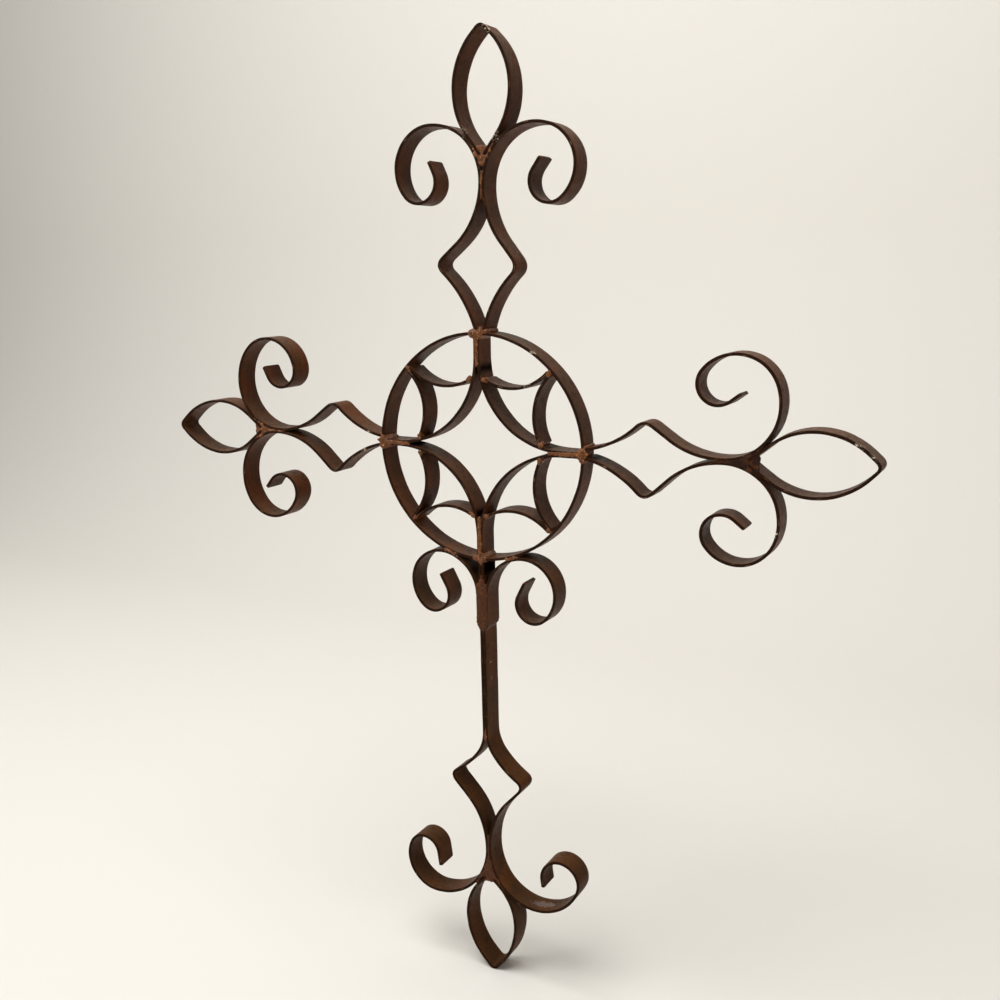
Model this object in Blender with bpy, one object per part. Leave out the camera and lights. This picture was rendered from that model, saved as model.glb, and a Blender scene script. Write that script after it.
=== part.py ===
"""Wrought iron cross of bent and welded flat bar.

A ring carries four arms. Each arm is a mirrored pair of bars that bow apart
into an open diamond, meet at a neck and curl away into scrolls, with a folded
leaf seated between them. Inside the ring, four star arcs and four folded
petals fill the quarters. Two small scrolls brace the stem under the ring.

Metres, +Z up. The front faces -Y and the back edges of all bars lie on
Y = 0. The origin is at the fold of the top leaf, by which the
cross hangs. Routes are lists of (x, z) points along the middle of a bar, seen
from the front, measured from the ring's centre, with their arm pointing up.
"""

import math

import bmesh
import bpy
from mathutils import Matrix, Vector

# Flat bar that every piece is bent from
STRAP_WIDTH = 0.0200
STRAP_THICKNESS = 0.0023
# Hairline left between two pieces that are welded together
WELD_GAP = 0.0003

# Ring, to the middle of the bar
RING_RADIUS = 0.090
RING_STEPS = 72

# Star arcs: each runs straight beside its neighbour before it curves away
STAR_TAIL = 0.0158

# Petals: folded at the ring, welded to the star arc this far round its curve
PETAL_FOLD_RADIUS = 0.0015
PETAL_WELD_ANGLE = math.radians(15.0)
# The folds sit a little off the diagonals, clockwise from the upper right
PETAL_SHIFTS = {
    "upper_right": math.radians(0.7),
    "lower_right": math.radians(-0.6),
    "lower_left": math.radians(0.0),
    "upper_left": math.radians(-0.8),
}

# Open diamond of the top, left and right arms
DIAMOND_RISE = 0.0497
DIAMOND_FALL = 0.0601
DIAMOND_SPREAD = 0.0022
DIAMOND_BOW = 0.0047
# Open diamond at the foot of the stem
STEM_LENGTH = 0.1572
FOOT_DIAMOND_RISE = 0.0334
FOOT_DIAMOND_FALL = 0.0614
FOOT_DIAMOND_BOW = 0.0040
# Shared by all diamonds: the straight flank between the corner and the neck's bend
DIAMOND_FLANK = 0.0239
NECK_LENGTH = 0.001
CORNER_REACH = 0.0090

# Scrolls: radius and turn of the flare, the crown and the curl, then a straight
SCROLL_FLARE = (0.0413, math.radians(104.0))
SCROLL_CROWN = (0.0317, math.radians(124.5))
SCROLL_CURL = (0.0154, math.radians(165.0))
SCROLL_TAIL = 0.0096
# The two at the foot of the cross share only the radius of their flares
FOOT_FLARE = 0.0516
FOOT_RIGHT_TURN = math.radians(29.0)
FOOT_RIGHT_CROWN = (0.0411, math.radians(128.5))
FOOT_RIGHT_CURL = (0.0166, math.radians(211.0))
FOOT_RIGHT_TAIL = 0.0069
FOOT_LEFT_TURN = math.radians(88.5)
FOOT_LEFT_CROWN = (0.0278, math.radians(119.5))
FOOT_LEFT_CURL = (0.0143, math.radians(145.0))
FOOT_LEFT_TAIL = 0.0125

# How each bar came out under the hammer, the mirrored bar of the arm first:
# half the width of its diamond, further turn of its flare, larger crown radius,
# or at the foot half the width of its diamond and its own scroll
BAR_BENDS = {
    "top": ((0.0395, math.radians(-6.5), -0.0008), (0.0319, math.radians(1.5), -0.0022)),
    "right": ((0.0283, math.radians(2.0), 0.0006), (0.0334, math.radians(6.0), -0.0019)),
    "bottom": (
        (0.0349, (FOOT_RIGHT_TURN, FOOT_RIGHT_CROWN, FOOT_RIGHT_CURL, FOOT_RIGHT_TAIL)),
        (0.0354, (FOOT_LEFT_TURN, FOOT_LEFT_CROWN, FOOT_LEFT_CURL, FOOT_LEFT_TAIL)),
    ),
    "left": ((0.0337, math.radians(18.5), -0.0027), (0.0299, math.radians(30.5), -0.0027)),
}

# Leaves: half width, length each way from the widest place, and how much of
# each side is straight at its base and at its point
LEAF_HALF_WIDTH = 0.0234
LEAF_BASE = 0.0483
LEAF_POINT = 0.0464
LEAF_BASE_FLANK = 0.0205
LEAF_POINT_FLANK = 0.0108
FOOT_LEAF_HALF_WIDTH = 0.0230
FOOT_LEAF_BASE = 0.0402
FOOT_LEAF_POINT = 0.0473
FOOT_LEAF_BASE_FLANK = 0.0015
FOOT_LEAF_POINT_FLANK = 0.0106
# Each leaf's lean on its seat, and its further reach
LEAF_BENDS = {
    "top": (math.radians(-1.7), -0.0012),
    "right": (math.radians(-0.8), -0.0002),
    "bottom": (math.radians(-1.5), -0.0002),
    "left": (math.radians(-1.3), 0.0025),
}
LEAF_FOLD_REACH = 0.0055

# Small scrolls that brace the stem against the ring
BRACE_RUN = 0.0238
BRACE_FLARE = (0.0350, math.radians(78.5))
BRACE_CROWN = (0.0277, math.radians(150.0))
BRACE_CURL = (0.0148, math.radians(159.0))
BRACE_TAIL = 0.0126

# Each arm came out a little larger or smaller than drawn
ARM_SIZES = {
    "top": 1.017,
    "right": 0.978,
    "bottom": 1.003,
    "left": 0.987,
}
# Lean of each arm about the ring's centre, as it was set by hand
ARM_TURNS = {
    "top": math.radians(2.0),
    "right": math.radians(89.1),
    "bottom": math.radians(179.5),
    "left": math.radians(270.9),
}

# How far a facet may stand off a true arc
FACET_SAG = 0.00015

# Two bars side by side keep their middles this far off the line between them
PAIR_OFFSET = (STRAP_THICKNESS + WELD_GAP) / 2
RING_INSIDE = (RING_RADIUS - STRAP_THICKNESS / 2) * math.cos(math.pi / RING_STEPS)
RING_OUTSIDE = RING_RADIUS + STRAP_THICKNESS / 2


def heading_vector(heading):
    return Vector((math.cos(heading), math.sin(heading)))


def arc_points(centre, radius, start, sweep):
    """Points along an arc, from the angle start through the angle sweep."""
    step = 2 * math.acos(1 - FACET_SAG / radius)
    count = max(2, math.ceil(abs(sweep) / step))
    return [centre + radius * heading_vector(start + sweep * i / count) for i in range(count + 1)]


def bowed_side(start, end, depth):
    """An arc from start to end that bows to the left of its chord by depth."""
    chord = end - start
    radius = (chord.length ** 2 / 4 + depth ** 2) / (2 * depth)
    left = Vector((-chord.y, chord.x)).normalized()
    centre = (start + end) / 2 + left * (depth - radius)
    half = math.asin(chord.length / 2 / radius)
    middle = math.atan2(left.y, left.x)
    return arc_points(centre, radius, middle + half, -2 * half)


def curl_route(start, heading, bends, tail):
    """Bends to the right, each a radius and a turn, and then a straight tail."""
    route = [start]
    for radius, turn in bends:
        centre = route[-1] + radius * heading_vector(heading - math.pi / 2)
        route += arc_points(centre, radius, heading + math.pi / 2, -turn)[1:]
        heading -= turn
    return route + [route[-1] + tail * heading_vector(heading)]


def bend_radius(across, along, flank):
    """Radius of a bend, straight for its last flank, that ends this far across and along."""
    return (across ** 2 + along ** 2 - flank ** 2) / (2 * across)


def tangent_arc(centre, radius, start, outside):
    """An anticlockwise arc from the angle start to where a straight leaves it for outside."""
    reach = outside - centre
    tangent = math.atan2(reach.y, reach.x) - math.acos(radius / reach.length)
    sweep = (tangent - start + math.pi) % (2 * math.pi) - math.pi
    return arc_points(centre, radius, start, sweep)


def round_corner(route, corner, reach):
    """Replace one corner of a route by a short bend that starts at reach from it."""

    def walk(step):
        here = corner
        left = reach
        while (route[here + step] - route[here]).length < left:
            left -= (route[here + step] - route[here]).length
            here += step
        side = (route[here + step] - route[here]).normalized()
        return here, route[here] + side * left

    before, first = walk(-1)
    after, last = walk(1)
    steps = 6
    bend = []
    for i in range(steps + 1):
        t = i / steps
        bend.append(first * (1 - t) ** 2 + route[corner] * 2 * t * (1 - t) + last * t ** 2)
    return route[:before] + bend + route[after + 1:]


def sized(route, size):
    """The route drawn larger or smaller from where its arm leaves the ring.

    The gap between the two bars of a pair stays as it is.
    """
    return [
        Vector((
            math.copysign(PAIR_OFFSET + (abs(point.x) - PAIR_OFFSET) * size, point.x)
            if point.x
            else 0.0,
            RING_OUTSIDE + (point.y - RING_OUTSIDE) * size,
        ))
        for point in route
    ]


def mirrored(route):
    return [Vector((-point.x, point.y)) for point in route]


def ring_route():
    return [RING_RADIUS * heading_vector(2 * math.pi * i / RING_STEPS) for i in range(RING_STEPS)]


def star_route():
    """Quarter arc in the upper right, from the top of the ring to its right."""
    end = math.sqrt(RING_INSIDE ** 2 - (PAIR_OFFSET + STRAP_THICKNESS / 2) ** 2) - WELD_GAP
    middle = end - STAR_TAIL
    centre = Vector((middle, middle))
    curve = arc_points(centre, middle - PAIR_OFFSET, math.pi, math.pi / 2)
    return [Vector((PAIR_OFFSET, end))] + curve + [Vector((end, PAIR_OFFSET))]


def petal_leg(fold, inward, side):
    """One side of a petal, from the fold to its weld on the star arc's back."""
    star = star_route()
    centre = Vector((star[1].y, star[1].y))
    reach = star[1].y - PAIR_OFFSET - STRAP_THICKNESS / 2 - WELD_GAP
    across = Vector((-inward.y, inward.x)) * side
    start = fold + across * PETAL_FOLD_RADIUS
    weld_angle = 1.25 * math.pi + side * (math.pi / 4 - PETAL_WELD_ANGLE)
    lap = 0.0
    for _ in range(4):
        end = centre + (reach - lap) * heading_vector(weld_angle)
        chord = end - start
        radius = chord.length_squared / (2 * chord.dot(across))
        pivot = start + across * radius
        out = (end - pivot).normalized()
        lap = abs(out.dot(heading_vector(weld_angle))) * STRAP_THICKNESS / 2
    begin = math.atan2(-across.y, -across.x)
    sweep = (math.atan2(out.y, out.x) - begin + math.pi) % (2 * math.pi) - math.pi
    return arc_points(pivot, radius, begin, sweep)


def petal_route(shift):
    """Petal of the upper right quarter; shift moves its fold along the ring."""
    diagonal = heading_vector(math.pi / 4 - shift)
    fold = diagonal * (RING_INSIDE - WELD_GAP - STRAP_THICKNESS / 2 - PETAL_FOLD_RADIUS)
    upper = petal_leg(fold, -diagonal, -1)
    lower = petal_leg(fold, -diagonal, 1)
    turn = math.atan2(diagonal.x, -diagonal.y)
    bend = arc_points(fold, PETAL_FOLD_RADIUS, turn, -math.pi)
    return upper[::-1] + bend[1:-1] + lower


def diamond_route(start, corner, bow, neck):
    """From the start out to the diamond's corner and back in to the neck."""
    lower = bowed_side(start, corner, bow)
    radius = bend_radius(corner.x - PAIR_OFFSET, neck - corner.y, DIAMOND_FLANK)
    hub = Vector((PAIR_OFFSET + radius, neck))
    upper = tangent_arc(hub, radius, math.pi, corner)
    return round_corner(lower + upper[::-1], len(lower) - 1, CORNER_REACH)


def short_bar_route(bend):
    """Right-hand bar of a short arm, from the ring to the scroll's end."""
    half_width, further, larger = bend
    start_x = PAIR_OFFSET + DIAMOND_SPREAD
    corner = Vector((half_width, RING_RADIUS + DIAMOND_RISE))
    chord = corner - Vector((start_x, RING_RADIUS))
    slope = math.atan2(chord.x, chord.y)
    start = Vector((start_x, RING_OUTSIDE + WELD_GAP + math.sin(slope) * STRAP_THICKNESS / 2))
    neck = corner.y + DIAMOND_FALL
    route = diamond_route(start, corner, DIAMOND_BOW, neck)
    scroll = curl_route(
        Vector((PAIR_OFFSET, neck + NECK_LENGTH)),
        math.pi / 2,
        (
            (SCROLL_FLARE[0], SCROLL_FLARE[1] + further),
            (SCROLL_CROWN[0] + larger, SCROLL_CROWN[1]),
            SCROLL_CURL,
        ),
        SCROLL_TAIL,
    )
    return route + scroll


def foot_bar_route(bend):
    """Right-hand bar of the long arm: stem, diamond and scroll."""
    half_width, (turn, crown, curl, tail) = bend
    top = Vector((PAIR_OFFSET, RING_OUTSIDE + WELD_GAP))
    bottom = Vector((PAIR_OFFSET, RING_RADIUS + STEM_LENGTH))
    corner = Vector((half_width, bottom.y + FOOT_DIAMOND_RISE))
    neck = corner.y + FOOT_DIAMOND_FALL
    diamond = diamond_route(bottom, corner, FOOT_DIAMOND_BOW, neck)
    scroll = curl_route(
        Vector((PAIR_OFFSET, neck + NECK_LENGTH)),
        math.pi / 2,
        ((FOOT_FLARE, turn), crown, curl),
        tail,
    )
    return round_corner([top] + diamond, 1, CORNER_REACH) + scroll


def leaf_flank(half_width, length, flank):
    """A side of a leaf from its widest place to the middle of its tip."""
    radius = bend_radius(half_width, length, flank)
    tip = Vector((0.0, length))
    return tangent_arc(Vector((half_width - radius, 0.0)), radius, 0.0, tip) + [tip]


def leaf_route(shape, bend, flare_radius, flare_height):
    """A whole leaf, seated where its sides touch the flares of both scrolls."""
    half_width, base, base_flank, point, point_flank = shape
    lean, further = bend
    to_base = [Vector((spot.x, -spot.y)) for spot in leaf_flank(half_width, base, base_flank)]
    slope = (to_base[-1] - to_base[-2]).normalized()
    stop_x = WELD_GAP / 2 + abs(slope.y) * STRAP_THICKNESS / 2
    to_base[-1] = to_base[-2] + slope * ((stop_x - to_base[-2].x) / slope.x)
    side = to_base[:0:-1] + leaf_flank(half_width, point + further, point_flank)
    hub_x = PAIR_OFFSET + flare_radius
    touch = flare_radius + STRAP_THICKNESS + WELD_GAP
    turned = Matrix.Rotation(-lean, 2)
    seats = [0.0]
    for first, second in zip(side, side[1:]):
        for i in range(10):
            for mirror in (-1, 1):
                spot = first.lerp(second, i / 10)
                spot = turned @ Vector((spot.x * mirror, spot.y + base)) - Vector((0.0, base))
                off_hub = hub_x - abs(spot.x)
                if abs(off_hub) < touch:
                    seats.append(math.sqrt(touch ** 2 - off_hub ** 2) - spot.y)
    lift = Vector((0.0, flare_height + max(seats) - base))
    whole = side + mirrored(side)[-2::-1]
    whole = round_corner(whole, len(side) - 1, LEAF_FOLD_REACH)
    return [turned @ (spot + Vector((0.0, base))) + lift for spot in whole]


def short_leaf_route(bend):
    flare_height = RING_RADIUS + DIAMOND_RISE + DIAMOND_FALL + NECK_LENGTH
    shape = (LEAF_HALF_WIDTH, LEAF_BASE, LEAF_BASE_FLANK, LEAF_POINT, LEAF_POINT_FLANK)
    return leaf_route(shape, bend, SCROLL_FLARE[0], flare_height)


def foot_leaf_route(bend):
    stem_end = RING_RADIUS + STEM_LENGTH
    flare_height = stem_end + FOOT_DIAMOND_RISE + FOOT_DIAMOND_FALL + NECK_LENGTH
    shape = (
        FOOT_LEAF_HALF_WIDTH,
        FOOT_LEAF_BASE,
        FOOT_LEAF_BASE_FLANK,
        FOOT_LEAF_POINT,
        FOOT_LEAF_POINT_FLANK,
    )
    return leaf_route(shape, bend, FOOT_FLARE, flare_height)


def brace_route():
    """Small scroll on the right of the stem, in the long arm's own direction.

    It lies on the stem, climbs back towards the ring and curls outwards, and
    its crown touches the ring's outer face.
    """
    x = PAIR_OFFSET + STRAP_THICKNESS + WELD_GAP
    flare, turn = BRACE_FLARE
    crown = BRACE_CROWN[0]
    offset_x = x + flare - (flare - crown) * math.cos(turn)
    offset_y = (flare - crown) * math.sin(turn)
    touch = RING_OUTSIDE + WELD_GAP + STRAP_THICKNESS / 2 + crown
    height = math.sqrt(touch ** 2 - offset_x ** 2) + offset_y
    upright = curl_route(
        Vector((x, 0.0)), math.pi / 2, (BRACE_FLARE, BRACE_CROWN, BRACE_CURL), BRACE_TAIL
    )
    turned = [Vector((spot.x, height - spot.y)) for spot in upright]
    return [Vector((x, height + BRACE_RUN))] + turned


def iron_material(name, colour, roughness):
    material = bpy.data.materials.new(name)
    material.use_nodes = True
    shader = material.node_tree.nodes["Principled BSDF"]
    shader.inputs["Base Color"].default_value = (*colour, 1.0)
    shader.inputs["Metallic"].default_value = 0.3
    shader.inputs["Roughness"].default_value = roughness
    return material


def add_strap(name, route, turn, parent, material, closed=False):
    """Stand the route up as a ribbon of the bar's width, then give it thickness."""
    mesh = bpy.data.meshes.new(name)
    ribbon = bmesh.new()
    front = [ribbon.verts.new((point.x, -STRAP_WIDTH, point.y)) for point in route]
    pairs = list(zip(front, front[1:]))
    if closed:
        pairs.append((front[-1], front[0]))
    edges = [ribbon.edges.new(pair) for pair in pairs]
    swept = bmesh.ops.extrude_edge_only(ribbon, edges=edges)
    back = [item for item in swept["geom"] if isinstance(item, bmesh.types.BMVert)]
    bmesh.ops.translate(ribbon, verts=back, vec=(0.0, STRAP_WIDTH, 0.0))
    ribbon.to_mesh(mesh)
    ribbon.free()
    mesh.materials.append(material)
    strap = bpy.data.objects.new(name, mesh)
    bpy.context.scene.collection.objects.link(strap)
    strap.parent = parent
    strap.rotation_euler = (0.0, turn, 0.0)
    thickness = strap.modifiers.new("Bar thickness", "SOLIDIFY")
    thickness.thickness = STRAP_THICKNESS
    thickness.offset = 0.0
    thickness.use_even_offset = True
    return strap


def clear_scene():
    for item in list(bpy.data.objects):
        bpy.data.objects.remove(item, do_unlink=True)


def add_centre(parent):
    ring_iron = iron_material("Ring iron", (0.060, 0.028, 0.018), 0.55)
    star_iron = iron_material("Star iron", (0.055, 0.026, 0.016), 0.55)
    petal_iron = iron_material("Petal iron", (0.065, 0.032, 0.020), 0.55)
    add_strap("ring", ring_route(), 0.0, parent, ring_iron, closed=True)
    for quarter, (place, shift) in enumerate(PETAL_SHIFTS.items()):
        turn = quarter * math.pi / 2
        add_strap(f"star_arc_{place}", star_route(), turn, parent, star_iron)
        add_strap(f"petal_{place}", petal_route(shift), turn, parent, petal_iron)


def add_arm(arm, sides, bar_route, leaf_route_of, parent):
    """A pair of bars and their leaf; sides names the bars, mirrored one first."""
    turn = ARM_TURNS[arm]
    bar_iron = iron_material(f"{arm.capitalize()} bar iron", (0.062, 0.030, 0.019), 0.5)
    leaf_iron = iron_material(f"{arm.capitalize()} leaf iron", (0.058, 0.030, 0.020), 0.5)
    first_bend, second_bend = BAR_BENDS[arm]
    size = ARM_SIZES[arm]
    first = sized(mirrored(bar_route(first_bend)), size)
    second = sized(bar_route(second_bend), size)
    leaf = sized(leaf_route_of(LEAF_BENDS[arm]), size)
    add_strap(f"{arm}_scroll_bar_{sides[0]}", first, turn, parent, bar_iron)
    add_strap(f"{arm}_scroll_bar_{sides[1]}", second, turn, parent, bar_iron)
    add_strap(f"{arm}_leaf", leaf, turn, parent, leaf_iron)


def add_braces(parent):
    iron = iron_material("Small scroll iron", (0.064, 0.030, 0.018), 0.5)
    turn = ARM_TURNS["bottom"]
    add_strap("small_scroll_right", mirrored(brace_route()), turn, parent, iron)
    add_strap("small_scroll_left", brace_route(), turn, parent, iron)


def main():
    clear_scene()
    cross = bpy.data.objects.new("cross", None)
    bpy.context.scene.collection.objects.link(cross)
    leaf = sized(short_leaf_route(LEAF_BENDS["top"]), ARM_SIZES["top"])
    fold = leaf[len(leaf) // 2]
    lean = ARM_TURNS["top"]
    cross.location = (
        -fold.x * math.cos(lean) - fold.y * math.sin(lean),
        0.0,
        fold.x * math.sin(lean) - fold.y * math.cos(lean),
    )
    add_centre(cross)
    add_arm("top", ("left", "right"), short_bar_route, short_leaf_route, cross)
    add_arm("right", ("upper", "lower"), short_bar_route, short_leaf_route, cross)
    add_arm("bottom", ("right", "left"), foot_bar_route, foot_leaf_route, cross)
    add_arm("left", ("lower", "upper"), short_bar_route, short_leaf_route, cross)
    add_braces(cross)


main()
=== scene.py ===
import math
import random

import bmesh
import bpy
from mathutils import Matrix, Vector, noise
from mathutils.kdtree import KDTree


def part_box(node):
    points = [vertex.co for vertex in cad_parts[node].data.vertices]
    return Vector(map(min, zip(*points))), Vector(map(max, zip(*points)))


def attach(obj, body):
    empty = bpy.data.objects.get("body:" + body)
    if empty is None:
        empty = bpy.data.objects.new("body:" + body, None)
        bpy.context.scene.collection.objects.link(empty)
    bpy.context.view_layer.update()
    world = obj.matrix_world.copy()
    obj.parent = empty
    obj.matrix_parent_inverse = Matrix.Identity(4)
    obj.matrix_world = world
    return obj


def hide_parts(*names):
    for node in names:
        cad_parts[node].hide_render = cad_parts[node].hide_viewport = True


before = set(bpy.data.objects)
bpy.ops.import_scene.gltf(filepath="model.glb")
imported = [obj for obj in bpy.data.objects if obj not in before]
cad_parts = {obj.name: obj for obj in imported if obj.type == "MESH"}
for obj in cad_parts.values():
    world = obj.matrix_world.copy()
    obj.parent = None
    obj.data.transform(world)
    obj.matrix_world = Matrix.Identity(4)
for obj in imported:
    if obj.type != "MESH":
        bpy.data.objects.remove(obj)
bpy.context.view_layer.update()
print("solids loaded:", len(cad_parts))

# flat iron strip that every piece is bent from, and how rough the smithing left it
barStock = {
    "width": 0.0200,
    "thickness": 0.0023,
    "weldGap": 0.0003,
    "cornerRadius": 0.00045,
    "step": 0.0012,  # length of one mesh face along the bar
    "cutsAcross": 8,
    "dent": 0.00022,  # soft hammer dents
    "edgeWander": 0.00014,  # sheared edges are never quite straight
    "blunt": 0.0022,  # how far the shears rounded the corners of a cut end
    "rimReach": 0.0011,  # how far from a rolled corner it is scraped bright, partly a painted highlight
    "heatReach": 0.0075,  # how far from a weld the rust is thick
}
pairOffset = (barStock["thickness"] + barStock["weldGap"]) / 2
halfBar = barStock["thickness"] / 2

ring = {"radius": 0.090, "steps": 72, "stations": 480}  # the solid hoop has 72 sides
ringInside = (ring["radius"] - halfBar) * math.cos(math.pi / ring["steps"])
ringOutside = ring["radius"] + halfBar

star = {"tail": 0.0158}

petal = {
    "foldRadius": 0.0015,
    "weldAngle": 15.0,
    "shift": {"upper_right": 0.7, "lower_right": -0.6, "lower_left": 0.0, "upper_left": -0.8},
}

diamond = {"rise": 0.0497, "fall": 0.0601, "spread": 0.0022, "bow": 0.0047}
footDiamond = {"stem": 0.1572, "rise": 0.0334, "fall": 0.0614, "bow": 0.0040}
neck = {"flank": 0.0239, "length": 0.001, "cornerReach": 0.0090}

scroll = {"flare": (0.0413, 104.0), "crown": (0.0317, 124.5), "curl": (0.0154, 165.0), "tail": 0.0096}
# the two scrolls at the foot share only the radius of their flares
footFlare = 0.0516
footRight = {"flare": (footFlare, 29.0), "crown": (0.0411, 128.5), "curl": (0.0166, 211.0), "tail": 0.0069}
footLeft = {"flare": (footFlare, 88.5), "crown": (0.0278, 119.5), "curl": (0.0143, 145.0), "tail": 0.0125}
smallScroll = {
    "run": 0.0238,
    "flare": (0.0350, 78.5),
    "crown": (0.0277, 150.0),
    "curl": (0.0148, 159.0),
    "tail": 0.0126,
}

leaf = {
    "halfWidth": 0.0234,
    "base": 0.0483,
    "baseFlank": 0.0205,
    "point": 0.0464,
    "pointFlank": 0.0108,
    "foldReach": 0.0055,
}
footLeaf = {
    "halfWidth": 0.0230,
    "base": 0.0402,
    "baseFlank": 0.0015,
    "point": 0.0473,
    "pointFlank": 0.0106,
    "foldReach": 0.0055,
}

# each arm's lean and size, its leaf's lean and further reach, and its two bars as the hammer left them
arms = {
    "top": {
        "turn": 2.0,
        "size": 1.017,
        "leaf": (-1.7, -0.0012),
        "bars": {
            "top_scroll_bar_left": (0.0395, -6.5, -0.0008),
            "top_scroll_bar_right": (0.0319, 1.5, -0.0022),
        },
    },
    "right": {
        "turn": 89.1,
        "size": 0.978,
        "leaf": (-0.8, -0.0002),
        "bars": {
            "right_scroll_bar_upper": (0.0283, 2.0, 0.0006),
            "right_scroll_bar_lower": (0.0334, 6.0, -0.0019),
        },
    },
    "bottom": {
        "turn": 179.5,
        "size": 1.003,
        "leaf": (-1.5, -0.0002),
        "bars": {
            "bottom_scroll_bar_right": (0.0349, footRight),
            "bottom_scroll_bar_left": (0.0354, footLeft),
        },
    },
    "left": {
        "turn": 270.9,
        "size": 0.987,
        "leaf": (-1.3, 0.0025),
        "bars": {
            "left_scroll_bar_lower": (0.0337, 18.5, -0.0027),
            "left_scroll_bar_upper": (0.0299, 30.5, -0.0027),
        },
    },
}


def onCircle(angle):
    return Vector((math.cos(angle), math.sin(angle)))


def bendArc(centre, radius, start, sweep):
    count = max(2, math.ceil(abs(sweep) / math.radians(7)), math.ceil(abs(sweep) * radius / barStock["step"]))
    return [centre + radius * onCircle(start + sweep * i / count) for i in range(count + 1)]


def bowSide(start, end, depth):
    chord = end - start
    radius = (chord.length ** 2 / 4 + depth ** 2) / (2 * depth)
    left = Vector((-chord.y, chord.x)).normalized()
    half = math.asin(chord.length / 2 / radius)
    centre = (start + end) / 2 + left * (depth - radius)
    return bendArc(centre, radius, math.atan2(left.y, left.x) + half, -2 * half)


def rollCurl(start, heading, bends, tail):
    route = [start]
    for radius, degrees in bends:
        turn = math.radians(degrees)
        centre = route[-1] + radius * onCircle(heading - math.pi / 2)
        route += bendArc(centre, radius, heading + math.pi / 2, -turn)[1:]
        heading -= turn
    return route + [route[-1] + tail * onCircle(heading)]


def bendRadius(across, along, flank):
    # a bend that sets out along and then runs straight for flank ends this far off
    return (across ** 2 + along ** 2 - flank ** 2) / (2 * across)


def arcToTangent(centre, radius, start, outside):
    reach = outside - centre
    tangent = math.atan2(reach.y, reach.x) - math.acos(radius / reach.length)
    sweep = (tangent - start + math.pi) % (2 * math.pi) - math.pi
    return bendArc(centre, radius, start, sweep)


def easeCorner(route, corner, reach):
    def walk(step):
        here, left = corner, reach
        while (route[here + step] - route[here]).length < left:
            left -= (route[here + step] - route[here]).length
            here += step
        return here, route[here] + (route[here + step] - route[here]).normalized() * left

    before, first = walk(-1)
    after, last = walk(1)
    bend = []
    for i in range(13):
        t = i / 12
        bend.append(first * (1 - t) ** 2 + route[corner] * 2 * t * (1 - t) + last * t ** 2)
    return route[:before] + bend + route[after + 1:]


def sized(route, size):
    # an arm drawn a little larger or smaller from where it leaves the ring, with its pair gap kept
    return [
        Vector((
            math.copysign(pairOffset + (abs(spot.x) - pairOffset) * size, spot.x) if spot.x else 0.0,
            ringOutside + (spot.y - ringOutside) * size,
        ))
        for spot in route
    ]


def mirrorRoute(route):
    return [Vector((-spot.x, spot.y)) for spot in route]


def fineRoute(route, closed=False):
    # long straights get as many stations as the bends have
    stations = []
    ends = route[1:] + ([route[0]] if closed else [])
    for first, second in zip(route, ends):
        count = max(1, round((second - first).length / barStock["step"]))
        stations += [first.lerp(second, i / count) for i in range(count)]
    return stations if closed else stations + [route[-1]]


def ringRoute():
    return [ring["radius"] * onCircle(2 * math.pi * i / ring["stations"]) for i in range(ring["stations"])]


def starRoute():
    end = math.sqrt(ringInside ** 2 - (pairOffset + halfBar) ** 2) - barStock["weldGap"]
    middle = end - star["tail"]
    curve = bendArc(Vector((middle, middle)), middle - pairOffset, math.pi, math.pi / 2)
    return [Vector((pairOffset, end))] + curve + [Vector((end, pairOffset))]


def petalLeg(fold, inward, side):
    hub = starRoute()[1].y
    centre = Vector((hub, hub))
    reach = hub - pairOffset - halfBar - barStock["weldGap"]
    across = Vector((-inward.y, inward.x)) * side
    start = fold + across * petal["foldRadius"]
    angle = 1.25 * math.pi + side * (math.pi / 4 - math.radians(petal["weldAngle"]))
    lap = 0.0
    for _ in range(4):
        end = centre + (reach - lap) * onCircle(angle)
        chord = end - start
        radius = chord.length_squared / (2 * chord.dot(across))
        pivot = start + across * radius
        out = (end - pivot).normalized()
        lap = abs(out.dot(onCircle(angle))) * halfBar
    begin = math.atan2(-across.y, -across.x)
    sweep = (math.atan2(out.y, out.x) - begin + math.pi) % (2 * math.pi) - math.pi
    return bendArc(pivot, radius, begin, sweep)


def petalRoute(shift):
    diagonal = onCircle(math.pi / 4 - math.radians(shift))
    fold = diagonal * (ringInside - barStock["weldGap"] - halfBar - petal["foldRadius"])
    bend = bendArc(fold, petal["foldRadius"], math.atan2(diagonal.x, -diagonal.y), -math.pi)
    return petalLeg(fold, -diagonal, -1)[::-1] + bend[1:-1] + petalLeg(fold, -diagonal, 1)


def diamondRoute(start, corner, bow, neckHeight):
    lower = bowSide(start, corner, bow)
    radius = bendRadius(corner.x - pairOffset, neckHeight - corner.y, neck["flank"])
    hub = Vector((pairOffset + radius, neckHeight))
    upper = arcToTangent(hub, radius, math.pi, corner)
    below = fineRoute(lower)
    return easeCorner(below + fineRoute(upper[::-1])[1:], len(below) - 1, neck["cornerReach"])


def scrollRoute(height, parts, further=0.0, larger=0.0):
    bends = [
        (parts["flare"][0], parts["flare"][1] + further),
        (parts["crown"][0] + larger, parts["crown"][1]),
        parts["curl"],
    ]
    return rollCurl(Vector((pairOffset, height + neck["length"])), math.pi / 2, bends, parts["tail"])


def shortBarRoute(bend):
    startX = pairOffset + diamond["spread"]
    corner = Vector((bend[0], ring["radius"] + diamond["rise"]))
    chord = corner - Vector((startX, ring["radius"]))
    lift = math.sin(math.atan2(chord.x, chord.y)) * halfBar
    start = Vector((startX, ringOutside + barStock["weldGap"] + lift))
    height = corner.y + diamond["fall"]
    return diamondRoute(start, corner, diamond["bow"], height) + scrollRoute(height, scroll, *bend[1:])


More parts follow.
